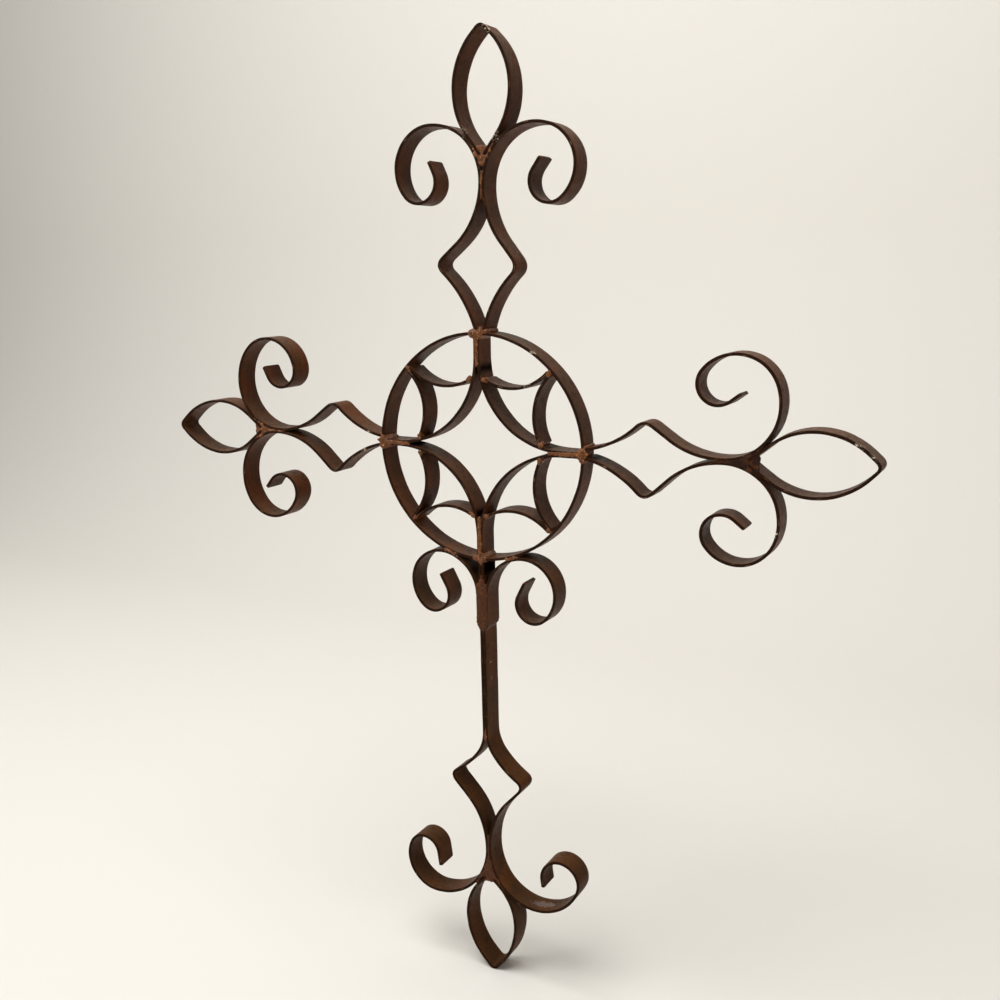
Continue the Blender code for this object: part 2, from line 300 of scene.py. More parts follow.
def footBarRoute(bend):
    top = Vector((pairOffset, ringOutside + barStock["weldGap"]))
    end = Vector((pairOffset, ring["radius"] + footDiamond["stem"]))
    corner = Vector((bend[0], end.y + footDiamond["rise"]))
    height = corner.y + footDiamond["fall"]
    stem = fineRoute([top, end])
    whole = stem + diamondRoute(end, corner, footDiamond["bow"], height)[1:]
    return easeCorner(whole, len(stem) - 1, neck["cornerReach"]) + scrollRoute(height, bend[1])


def leafFlank(halfWidth, length, flank):
    radius = bendRadius(halfWidth, length, flank)
    tip = Vector((0.0, length))
    return arcToTangent(Vector((halfWidth - radius, 0.0)), radius, 0.0, tip) + [tip]


def leafRoute(parts, bend, flareRadius, flareHeight):
    lean, further = math.radians(bend[0]), bend[1]
    base = parts["base"]
    toBase = [Vector((spot.x, -spot.y)) for spot in leafFlank(parts["halfWidth"], base, parts["baseFlank"])]
    slope = (toBase[-1] - toBase[-2]).normalized()
    stopX = barStock["weldGap"] / 2 + abs(slope.y) * halfBar
    toBase[-1] = toBase[-2] + slope * ((stopX - toBase[-2].x) / slope.x)
    side = toBase[:0:-1] + leafFlank(parts["halfWidth"], parts["point"] + further, parts["pointFlank"])
    hub = Vector((pairOffset + flareRadius, flareHeight))
    touch = flareRadius + barStock["thickness"] + barStock["weldGap"]
    turned = Matrix.Rotation(-lean, 2)
    seats = [(0.0, side[0])]
    for first, second in zip(side, side[1:]):
        for i in range(10):
            for mirror in (-1, 1):
                spot = first.lerp(second, i / 10)
                spot = turned @ Vector((spot.x * mirror, spot.y + base)) - Vector((0.0, base))
                offHub = hub.x - abs(spot.x)
                if abs(offHub) < touch:
                    seats.append((math.sqrt(touch ** 2 - offHub ** 2) - spot.y, spot))
    rise, seat = max(seats, key=lambda item: item[0])
    lift = Vector((0.0, flareHeight + rise - base))
    contact = Vector((abs(seat.x), seat.y + flareHeight + rise))
    contact = hub + (contact - hub).normalized() * (touch - halfBar)
    fine = fineRoute(side)
    whole = easeCorner(fine + mirrorRoute(fine)[-2::-1], len(fine) - 1, parts["foldReach"])
    placed = [turned @ (spot + Vector((0.0, base))) + lift for spot in whole]
    return placed, contact, placed[0].y


def smallScrollRoute():
    x = pairOffset + barStock["thickness"] + barStock["weldGap"]
    flare, turn = smallScroll["flare"][0], math.radians(smallScroll["flare"][1])
    crown = smallScroll["crown"][0]
    offset = Vector((x + flare - (flare - crown) * math.cos(turn), (flare - crown) * math.sin(turn)))
    touch = ringOutside + barStock["weldGap"] + halfBar + crown
    height = math.sqrt(touch ** 2 - offset.x ** 2) + offset.y
    touchAt = Vector((offset.x, height - offset.y)) * ringOutside / touch
    bends = (smallScroll["flare"], smallScroll["crown"], smallScroll["curl"])
    upright = rollCurl(Vector((x, 0.0)), math.pi / 2, bends, smallScroll["tail"])
    curl = [Vector((spot.x, height - spot.y)) for spot in upright]
    return [Vector((x, height + smallScroll["run"]))] + curl, touchAt


shortNeck = ring["radius"] + diamond["rise"] + diamond["fall"] + neck["length"]
footNeck = ring["radius"] + footDiamond["stem"] + footDiamond["rise"] + footDiamond["fall"] + neck["length"]
smallRoute, smallTouch = smallScrollRoute()
for armName, arm in arms.items():
    foot = armName == "bottom"
    arm["neck"] = footNeck if foot else shortNeck
    flareRadius = footFlare if foot else scroll["flare"][0]
    whole, contact, base = leafRoute(footLeaf if foot else leaf, arm["leaf"], flareRadius, arm["neck"])
    heights = [Vector((0, height)) for height in (arm["neck"], base)]
    arm["neck"], arm["base"] = (spot.y for spot in sized(heights, arm["size"]))
    arm["leafRoute"] = sized(whole, arm["size"])
    arm["seat"] = sized([contact], arm["size"])[0]
topFold = arms["top"]["leafRoute"][len(arms["top"]["leafRoute"]) // 2]
lean = math.radians(arms["top"]["turn"])
crossCentre = Vector((
    -topFold.x * math.cos(lean) - topFold.y * math.sin(lean),
    topFold.x * math.sin(lean) - topFold.y * math.cos(lean),
))

# the camera stands to the right of the cross and a little above its ring
camera = {
    "fromRing": (0.42827, -0.77604, 0.13910),
    "turn": (78.309, 0.736, 27.786),
    "lens": 40.13,
    "shift": (-0.0090, -0.0014),
}

eye = bpy.data.objects.new("Camera", bpy.data.cameras.new("Camera"))
bpy.context.scene.collection.objects.link(eye)
eye.location = Vector((crossCentre.x, 0, crossCentre.y)) + Vector(camera["fromRing"])
eye.rotation_euler = [math.radians(angle) for angle in camera["turn"]]
eye.data.lens = camera["lens"]
eye.data.shift_x, eye.data.shift_y = camera["shift"]
eye.data.clip_start = 0.01
bpy.context.scene.camera = eye
print("camera set")


def onCross(spot, degrees):
    turn = math.radians(degrees)
    x = spot.x * math.cos(turn) + spot.y * math.sin(turn)
    z = spot.y * math.cos(turn) - spot.x * math.sin(turn)
    return Vector((crossCentre.x + x, crossCentre.y + z))


front = -barStock["width"]
quarterTurns = {"upper_right": 0, "lower_right": 90, "lower_left": 180, "upper_left": 270}
armTurns = {name: arm["turn"] for name, arm in arms.items()}
welds = {}


def dropPuddle(name, spot, degrees, radius, flat, mess, depth):
    # one puddle of weld metal, a little off its place, at this depth behind the front
    spread = random.Random(name + str(len(welds.get(name, []))))
    spot = spot + Vector((spread.uniform(-1, 1), spread.uniform(-1, 1))) * radius * mess
    radius *= 1 + spread.uniform(-0.3, 0.25) * mess * 2
    placed = onCross(spot, degrees)
    welds.setdefault(name, []).append((Vector((placed.x, front + depth, placed.y)), radius, flat))


def layWeld(name, start, end, degrees, radii, flat=0.7, mess=0.35, sink=0.0004):
    # a bead is a row of overlapping puddles that stand on the bars' front edges
    count = max(1, round((end - start).length / (min(radii) * 0.9)))
    for i in range(count + 1):
        share = i / count
        radius = radii[0] + (radii[1] - radii[0]) * share
        dropPuddle(name, start.lerp(end, share), degrees, radius, flat, mess, sink)


def fillCorner(name, spot, degrees, radius, depths, mess=0.12):
    # a fillet that the arc left in a corner between two bars, through the bars' width
    count = max(1, round((depths[1] - depths[0]) / (radius * 0.8)))
    for i in range(count + 1):
        dropPuddle(name, spot, degrees, radius, 1.0, mess, depths[0] + (depths[1] - depths[0]) * i / count)


def fillWedge(name, low, high, halfGap, degrees, radius, depths, flat=0.6, mess=0.3):
    # a web of puddles that closes the wedge between two bars; halfGap gives half the gap at a height
    rows = max(1, round((high - low) / (radius * 1.1)))
    for row in range(rows + 1):
        height = low + (high - low) * row / rows
        half = halfGap(height)
        columns = round(2 * half / (radius * 1.2))
        for column in range(columns + 1):
            x = 2 * half * column / columns - half if columns else 0.0
            for depth in depths:
                dropPuddle(name, Vector((x, height)), degrees, radius, flat, mess, depth)


# where the arms meet the ring: a bead down the star's two tails, a lump across the ring's edge,
# a tongue up between the arm's two bars and fillets through the bars' whole width
seam = {"top": 0, "right": 90, "bottom": 180, "left": 270}
joints = {
    "top": {"tail": 0.0655, "lump": 0.0034, "tongue": 0.0945, "tongueRadius": 0.0025, "fillet": 0.0024},
    "right": {"tail": 0.0620, "lump": 0.0030, "tongue": 0.0940, "tongueRadius": 0.0020, "fillet": 0.0014},
    "bottom": {"tail": 0.0560, "lump": 0.0026, "tongue": 0.0950, "tongueRadius": 0.0020, "fillet": 0.0013},
    "left": {"tail": 0.0650, "lump": 0.0031, "tongue": 0.0945, "tongueRadius": 0.0022, "fillet": 0.0014},
}
through = (0.0015, barStock["width"] - 0.0025)
seamBead = {"from": 0.0885, "radii": (0.0024, 0.0018)}
rimBead = {"left": 0.0045, "right": 0.0050, "radii": (0.0017, 0.0019)}
drip = {"length": 0.0040, "radii": (0.0022, 0.0028)}
tongue = {"from": 0.0920, "endRadius": 0.0012, "layers": ((0.7, 0.0006), (1.0, 0.0036))}
lumpReach = 0.0028
# fillets in the ring's crossings: across and along from its centre, and radius
ringFillets = ((0.0029, 0.0880, 0.0019), (0.0046, 0.0885, 0.0011), (0.0025, 0.0862, 0.0011))
armFillet = {"across": 0.0051, "acrossStem": 0.0029, "along": 0.0918}
for arm, joint in joints.items():
    turn, name = seam[arm], "weld_ring_" + arm
    rim = Vector((0, ring["radius"]))
    seamTop, seamEnd = Vector((0, seamBead["from"])), Vector((0, joint["tail"]))
    layWeld(name, seamTop, seamEnd, turn, seamBead["radii"], flat=0.42, mess=0.18)
    beadLeft, beadRight = rim - Vector((rimBead["left"], 0)), rim + Vector((rimBead["right"], 0))
    layWeld(name, beadLeft, beadRight, turn, rimBead["radii"], flat=0.6, mess=0.15)
    layWeld(name, rim - Vector((0, drip["length"])), rim, turn, drip["radii"], flat=0.6, mess=0.15)
    lumpSide = Vector((lumpReach, 0))
    layWeld(name, rim - lumpSide, rim + lumpSide, turn, (joint["lump"], joint["lump"]), mess=0.2)
    for side in (-1, 1):
        for across, height, radius in ringFillets:
            fillCorner(name, Vector((side * across, height)), turn, radius, through)
        across = armFillet["acrossStem" if arm == "bottom" else "across"]
        fillCorner(name, Vector((side * across, armFillet["along"])), armTurns[arm], joint["fillet"], through)
    start, end = Vector((0, tongue["from"])), Vector((0, joint["tongue"]))
    for flat, sink in tongue["layers"]:
        radii = (joint["tongueRadius"], tongue["endRadius"])
        layWeld(name, start, end, armTurns[arm], radii, flat=flat, mess=0.2, sink=sink)

# the petals' ends sit on the star and their folds on the ring
petalEndWeld = {"radii": (0.0021, 0.0013), "fillet": 0.0019, "through": 0.0013}
petalFoldWeld = {"from": 0.0862, "to": 0.0893, "radii": (0.0021, 0.0015), "along": 0.0885, "fillet": 0.0016}
for place, turn in quarterTurns.items():
    name = "weld_petals_" + place
    route = petalRoute(petal["shift"][place])
    fold = onCircle(math.pi / 4 - math.radians(petal["shift"][place]))
    for end, inner in ((route[0], route[3]), (route[-1], route[-4])):
        layWeld(name, end, inner, turn, petalEndWeld["radii"], mess=0.35, sink=0.0006)
        fillCorner(name, end.lerp(inner, 0.3), turn, petalEndWeld["fillet"], (0.0015, 0.0045))
        fillCorner(name, end, turn, petalEndWeld["through"], (0.004, 0.0165))
    start, end = fold * petalFoldWeld["from"], fold * petalFoldWeld["to"]
    layWeld(name, start, end, turn, petalFoldWeld["radii"], mess=0.4, flat=0.5)
    fillCorner(name, fold * petalFoldWeld["along"], turn, petalFoldWeld["fillet"], through)

# necks, the wedges between the scrolls and the crotches of the leaves
leafWelds = {
    "top": {"seam": 0.012, "web": 0.55, "wedge": 0.0085, "depths": (0.0010, 0.0030)},
    "right": {"seam": 0.004, "web": 0.20, "wedge": 0.0100, "depths": (0.0008, 0.0026)},
    "bottom": {"seam": 0.012, "web": 0.10, "wedge": 0.0040, "depths": (0.0006, 0.0026, 0.0046)},
    "left": {"seam": 0.006, "web": 0.25, "wedge": 0.0080, "depths": (0.0010, 0.0030)},
}
for arm, weld in leafWelds.items():
    turn, name = armTurns[arm], "weld_leaf_" + arm
    neckAt, base, seat = arms[arm]["neck"], arms[arm]["base"], arms[arm]["seat"]
    flareRadius = (footFlare if arm == "bottom" else scroll["flare"][0]) * arms[arm]["size"]
    start, end = Vector((0, neckAt - weld["seam"])), Vector((0, neckAt + 0.007))
    layWeld(name, start, end, turn, (0.0010, 0.0015), flat=0.5, mess=0.15)

    def flareGap(height):
        rise = max(0.0, height - neckAt)
        return max(0.0, flareRadius - math.sqrt(flareRadius ** 2 - rise ** 2) - 0.0004)

    sides = [spot for spot in arms[arm]["leafRoute"] if spot.x > 0]

    def leafGap(height):
        near = min(sides, key=lambda spot: abs(spot.y - height))
        return max(0.0, near.x - 0.0012)

    webFrom = neckAt + 0.006 + (base - neckAt - 0.006) * weld["web"]
    fillWedge(name, webFrom, base - 0.0005, flareGap, turn, 0.0017, weld["depths"], mess=0.25)
    fillWedge(name, base, base + weld["wedge"] * 0.7, leafGap, turn, 0.0016, weld["depths"], mess=0.3)
    for side in (-1, 1):
        inner = Vector((side * (flareGap(base) + 0.0006), base - 0.0010))
        outer = Vector((side * seat.x, seat.y))
        layWeld(name, inner, outer, turn, (0.0019, 0.0012), flat=0.6, mess=0.25, sink=0.0008)
        fillCorner(name, outer, turn, 0.0013, (0.0020, 0.0160))
        fillCorner(name, inner, turn, 0.0013, (0.0030, 0.0165))

# the small scrolls touch the ring and lie on the stem, under a flat plate of weld across all four bars
tailX = pairOffset + barStock["thickness"] / 2 + barStock["weldGap"] / 2
stemTurn = armTurns["bottom"]
stemWeld = {"top": 0.1065, "bottom": 0.1430, "point": 0.1505, "radius": 0.0021}
for side in (-1, 1):
    touch = Vector((side * smallTouch.x, smallTouch.y)).normalized() * ringOutside
    along = Vector((touch.y, -touch.x)).normalized() * 0.005
    layWeld("weld_small_scrolls", touch - along, touch + along, stemTurn, (0.0012, 0.0016), mess=0.4)
    fillCorner("weld_small_scrolls", touch + along * 0.7, stemTurn, 0.0012, (0.002, 0.016))
    fillCorner("weld_small_scrolls", touch - along * 0.7, stemTurn, 0.0012, (0.002, 0.016))
for x in (-1.35, -0.5, 0.5, 1.35):
    start = Vector((x * tailX, stemWeld["top"] + 0.004 * abs(x)))
    end = Vector((x * tailX, stemWeld["bottom"]))
    radii = (0.0018, stemWeld["radius"])
    layWeld("weld_stem", start, end, stemTurn, radii, flat=0.42, mess=0.12, sink=0.0002)
    point = Vector((x * 0.0008, stemWeld["point"]))
    layWeld("weld_stem", end, point, stemTurn, (0.0017, 0.0009), flat=0.45, mess=0.15, sink=0.0002)
# the ends of the small scrolls are feathered into the stem: across, along and radius
feathers = ((0.0037, 0.1458, 0.0015), (0.0029, 0.1476, 0.0012), (0.0023, 0.1494, 0.0010))
for side in (-1, 1):
    for across, height, radius in feathers:
        spot = Vector((side * across, height))
        fillCorner("weld_stem", spot, stemTurn, radius, (0.001, barStock["width"] - 0.0015))
fillWedge("weld_stem", 0.1045, 0.112, lambda height: 0.0002, stemTurn, 0.0018, (0.0004,), mess=0.3)
stemEnd = ringOutside + (ring["radius"] + footDiamond["stem"] - ringOutside) * arms["bottom"]["size"]
start, end = Vector((0, stemEnd - 0.011)), Vector((0, stemEnd - 0.003))
layWeld("weld_stem_foot", start, end, stemTurn, (0.0010, 0.0017), flat=0.5, mess=0.2)

# spatter that peeks out behind the foot's neck: place from the ring's centre, radius and depth
neckSpatter = [((0.0079, -0.3650), 0.0014, 0.0185), ((0.0091, -0.3672), 0.0011, 0.0180)]
for place, radius, depth in neckSpatter:
    dropPuddle("weld_leaf_bottom", Vector(place), 0, radius, 1.0, 0.0, depth)

# the burr that the shears left on the front corner of the right upper scroll's end
upperBar = shortBarRoute(arms["right"]["bars"]["right_scroll_bar_upper"])
scrollEnd, nearEnd = mirrorRoute(sized(upperBar, arms["right"]["size"]))[-1:-3:-1]
inward = (nearEnd - scrollEnd).normalized()
for setBack, radius, depth in ((0.0004, 0.0014, 0.0018), (0.0016, 0.0011, 0.0012)):
    dropPuddle("burr_scroll_right", scrollEnd + inward * setBack, armTurns["right"], radius, 1.0, 0.0, depth)

weldTree = KDTree(sum(len(spots) for spots in welds.values()))
for index, (spot, radius, flat) in enumerate(item for spots in welds.values() for item in spots):
    weldTree.insert(spot, index)
weldTree.balance()
print("weld seams planned:", len(welds))


surfaceMarks = ("rim", "weldHeat", "dustAndSheen", "chipped", "paintedShade", "waxAndSheen")

# bare spots where the surface was knocked off: place from the ring's centre in metres, and reach
knocks = {
    "top leaf": [((0.014, -0.020, 0.311), 0.0045), ((0.009, -0.018, 0.308), 0.003)],
    "top crotches": [((-0.008, -0.020, 0.239), 0.004), ((0.020, -0.020, 0.234), 0.004)],
    "ring": [
        ((0.049, -0.020, 0.076), 0.003),
        ((0.044, -0.020, 0.052), 0.003),
        ((-0.023, -0.020, -0.089), 0.003),
    ],
    "left arm": [
        ((-0.104, -0.020, 0.006), 0.003),
        ((-0.109, -0.020, -0.009), 0.003),
        ((-0.182, -0.020, 0.059), 0.003),
    ],
    "right arm": [((0.105, -0.020, -0.010), 0.005), ((0.239, -0.020, -0.046), 0.003)],
    "right leaf": [
        ((0.302, -0.020, 0.015), 0.004),
        ((0.300, -0.020, 0.008), 0.004),
        ((0.292, -0.020, 0.020), 0.004),
    ],
    "stem": [
        ((0.003, -0.012, -0.179), 0.0018),
        ((0.003, -0.012, -0.193), 0.0018),
        ((0.005, -0.008, -0.165), 0.0015),
    ],
    "foot": [((-0.053, -0.020, -0.335), 0.003), ((-0.071, -0.020, -0.387), 0.002)],
}
ringCentre = Vector((crossCentre.x, 0, crossCentre.y))
chips = [(ringCentre + Vector(place), reach) for spots in knocks.values() for place, reach in spots]

# spots painted near black as shade, in the hollows and crotches where light barely reaches: place and reach
paintedShadeSpots = [(onCross(Vector((0, joint["tail"] - 0.003)), seam[arm]), 0.006) for arm, joint in joints.items()]
paintedShadeSpots += [(onCross(Vector((side * 0.0050, 0.0980)), stemTurn), 0.0088) for side in (-1, 1)]
for arm, reach in (("right", 0.006), ("top", 0.005)):
    paintedShadeSpots.append((onCross(Vector((0, 0.0985)), armTurns[arm]), reach))
for arm in ("top", "right"):
    paintedShadeSpots.append((onCross(Vector((0, arms[arm]["base"] - 0.004)), armTurns[arm]), 0.004))

# a run of wax that dried glossy on the right foot scroll, its colour greyed and lightened as a painted sheen:
# place, and reach along each axis
waxRun = {"place": ringCentre + Vector((0.052, -0.010, -0.3885)), "reach": (0.011, 0.0045, 0.012)}


def finishedMesh(piece):
    # the piece as its modifiers leave it, as a mesh of its own
    bpy.context.view_layer.update()
    graph = bpy.context.evaluated_depsgraph_get()
    mesh = bpy.data.meshes.new_from_object(piece.evaluated_get(graph))
    piece.modifiers.clear()
    old = piece.data
    piece.data = mesh
    bpy.data.meshes.remove(old)
    return mesh


def bendBar(node, route, degrees, finish, closed=False):
    stations = fineRoute(route, closed)
    bar = bmesh.new()
    line = [bar.verts.new((spot.x, front, spot.y)) for spot in stations]
    pairs = list(zip(line, line[1:])) + ([(line[-1], line[0])] if closed else [])
    swept = bmesh.ops.extrude_edge_only(bar, edges=[bar.edges.new(pair) for pair in pairs])
    back = [item for item in swept["geom"] if isinstance(item, bmesh.types.BMVert)]
    bmesh.ops.translate(bar, verts=back, vec=(0, barStock["width"], 0))
    across = [edge for edge in bar.edges if abs(edge.verts[0].co.y - edge.verts[1].co.y) > 0.01]
    bmesh.ops.subdivide_edges(bar, edges=across, cuts=barStock["cutsAcross"], use_grid_fill=True)
    if not closed:
        # the shears left the strip's corners a little blunt
        corners = [corner for corner in bar.verts if len(corner.link_edges) == 2]
        rounding = {"offset": barStock["blunt"], "segments": 3, "profile": 0.5, "material": -1}
        bmesh.ops.bevel(bar, geom=corners, affect="VERTICES", **rounding)
    mesh = bpy.data.meshes.new(node + "_bar")
    bar.to_mesh(mesh)
    bar.free()
    piece = bpy.data.objects.new(node + "_bar", mesh)
    bpy.context.scene.collection.objects.link(piece)
    solid = piece.modifiers.new("Bar thickness", "SOLIDIFY")
    solid.thickness = barStock["thickness"]
    solid.offset = 0.0
    solid.use_even_offset = True
    rounded = piece.modifiers.new("Rolled corners", "BEVEL")
    rounded.width = barStock["cornerRadius"]
    rounded.segments = 2
    rounded.limit_method = "ANGLE"
    rounded.angle_limit = math.radians(55)
    mesh = finishedMesh(piece)

    lengths = [0.0]
    for first, second in zip(stations, stations[1:]):
        lengths.append(lengths[-1] + (second - first).length)
    tree = KDTree(len(stations))
    for index, spot in enumerate(stations):
        tree.insert((spot.x, 0, spot.y), index)
    tree.balance()
    seed = sum(ord(letter) * (index + 3) for index, letter in enumerate(node)) % 997
    mesh.attributes.new("alongBar", "FLOAT_VECTOR", "POINT")
    for mark in surfaceMarks:
        mesh.attributes.new(mark, "FLOAT", "POINT")
    along = mesh.attributes["alongBar"]
    rim, heat, dustAndSheen, chipped, paintedShade, waxAndSheen = (mesh.attributes[mark] for mark in surfaceMarks)
    line = [onCross(spot, degrees) for spot in stations[::4]]

    def onBar(place, reach):
        return min((spot - place).length for spot in line) < reach + 0.006

    nearChips = [(place, reach) for place, reach in chips if onBar(place.xz, reach)]
    nearShadeSpots = [(place, reach) for place, reach in paintedShadeSpots if onBar(place, reach)]
    for vertex in mesh.vertices:
        spot = Vector((vertex.co.x, vertex.co.z))
        index = tree.find((spot.x, 0, spot.y))[1]
        before = stations[index - 1] if index > 0 or closed else stations[index]
        later = index + 1
        after = stations[later % len(stations)] if later < len(stations) or closed else stations[index]
        run = (after - before).normalized()
        side = Vector((-run.y, run.x))
        offset = (spot - stations[index]).dot(side)
        length = lengths[index] + (spot - stations[index]).dot(run)
        depth = vertex.co.y - front
        if closed:  # the noise has to meet itself where the hoop closes
            angle = math.atan2(spot.y, spot.x)
            key = Vector((math.cos(angle) * 3.6, math.sin(angle) * 3.6, depth * 40 + seed))
        else:
            key = Vector((length * 40, seed * 1.7, depth * 40))
        dent = noise.noise(key) * barStock["dent"] + noise.noise(key * 3.1) * barStock["dent"] * 0.3
        lever = 2 * depth / barStock["width"] - 1
        wander = noise.noise(key * 2.3 + Vector((9, lever * 0.6, 0))) * barStock["edgeWander"] * lever
        corner = math.hypot(max(0.0, halfBar - abs(offset)), min(depth, barStock["width"] - depth))
        along.data[vertex.index].vector = (length, depth, offset)
        rim.data[vertex.index].value = max(0.0, 1 - corner / barStock["rimReach"])
        moved = spot + side * dent
        placed = onCross(moved, degrees)
        vertex.co = (placed.x, min(0.0, vertex.co.y + wander), placed.y)
        distance = weldTree.find(vertex.co)[2]
        heat.data[vertex.index].value = max(0.0, 1 - distance / barStock["heatReach"]) ** 1.5
        for place, reach in nearChips:
            bared = 1 - (vertex.co - place).length / reach
            chipped.data[vertex.index].value = max(chipped.data[vertex.index].value, bared)
        ripple = noise.noise(vertex.co * 350) * 0.8
        gaps = zip(vertex.co - waxRun["place"], waxRun["reach"])
        away = math.hypot(*(gap / reach for gap, reach in gaps))
        waxAndSheen.data[vertex.index].value = max(0.0, 1 + ripple - away)
        # painted shade: darkens these spots, fading in behind the front edge
        behindFront = min(1.0, max(0.0, depth / 0.0015))
        for place, reach in nearShadeSpots:
            near = 1 - (placed - place).length / reach
            paintedShade.data[vertex.index].value = max(paintedShade.data[vertex.index].value, near * behindFront)
    mesh.shade_smooth()
    # top-facing faces: dust, and a painted sheen of the light from above
    for vertex in mesh.vertices:
        dustAndSheen.data[vertex.index].value = max(0.0, vertex.normal.z)
    mesh.materials.clear()
    mesh.materials.append(finish)
    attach(piece, "root")
    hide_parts(node)
    return piece


def meltBead(name, spots, finish):
    # puddles are merged into one lump, as the arc leaves them
    pool = bmesh.new()
    spread = random.Random(name)
    for spot, radius, flat in spots:
        squash = Matrix.Diagonal((1.0, flat, 1.0, 1.0))
        turned = Matrix.Rotation(spread.uniform(0, math.pi), 4, "Y")
        laid = Matrix.Translation(spot) @ squash @ turned
        bmesh.ops.create_icosphere(pool, subdivisions=2, radius=radius, matrix=laid)
    mesh = bpy.data.meshes.new(name)
    pool.to_mesh(mesh)
    pool.free()
    piece = bpy.data.objects.new(name, mesh)
    bpy.context.scene.collection.objects.link(piece)
    merge = piece.modifiers.new("Merged puddles", "REMESH")
    merge.mode = "VOXEL"
    merge.voxel_size = 0.0005
    mesh = finishedMesh(piece)
    work = bmesh.new()
    work.from_mesh(mesh)
    everyWay = {"use_axis_x": True, "use_axis_y": True, "use_axis_z": True}
    for _ in range(3):
        bmesh.ops.smooth_vert(work, verts=work.verts[:], factor=0.5, **everyWay)
    work.normal_update()
    for vertex in work.verts:
        rough = noise.noise(vertex.co * 300) * 0.00026 + noise.noise(vertex.co * 900) * 0.00010
        vertex.co += vertex.normal * rough
    work.to_mesh(mesh)
    work.free()
    mesh.shade_smooth()
    mesh.materials.clear()
    mesh.materials.append(finish)
    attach(piece, "root")
    return piece


def tint(code):
    # sRGB hex to the linear colour that Blender's sockets take
    parts = [int(code[i:i + 2], 16) / 255 for i in (0, 2, 4)]
    return [part / 12.92 if part <= 0.04045 else ((part + 0.055) / 1.055) ** 2.4 for part in parts] + [1.0]


def addNode(tree, kind, settings=None, links=None):
    node = tree.nodes.new(kind)
    for key, value in (settings or {}).items():
        if isinstance(key, str) and hasattr(node, key):
            setattr(node, key, value)
    for key, value in (settings or {}).items():
        if isinstance(key, int) or not hasattr(node, key):
            node.inputs[key].default_value = value
    for key, source in (links or {}).items():
        tree.links.new(source, node.inputs[key])
    return node


def noiseAt(tree, vector, scale, detail, rough):
    settings = {"Scale": scale, "Detail": detail, "Roughness": rough}
    return addNode(tree, "ShaderNodeTexNoise", settings, {"Vector": vector}).outputs["Fac"]


def ramp(tree, value, low, high, top=1.0, bottom=0.0):
    settings = {"From Min": low, "From Max": high, "To Min": bottom, "To Max": top}
    return addNode(tree, "ShaderNodeMapRange", settings, {"Value": value}).outputs["Result"]


def combined(tree, operation, first, second):
    return addNode(tree, "ShaderNodeMath", {"operation": operation}, {0: first, 1: second}).outputs[0]


def mixed(tree, share, first, second):
    settings = {"data_type": "RGBA", 6: tint(first), 7: tint(second)}
    return addNode(tree, "ShaderNodeMix", settings, {0: share}).outputs[2]


def over(tree, under, share, colour):
    settings = {"data_type": "RGBA", 7: tint(colour)}
    return addNode(tree, "ShaderNodeMix", settings, {0: share, 6: under}).outputs[2]


def stretchAlong(tree, along, length, width):
    # marks that run along a bar, of this length and width
    settings = {"Scale": (1 / length, 1 / width, 1 / width)}
    return addNode(tree, "ShaderNodeMapping", settings, {"Vector": along}).outputs["Vector"]


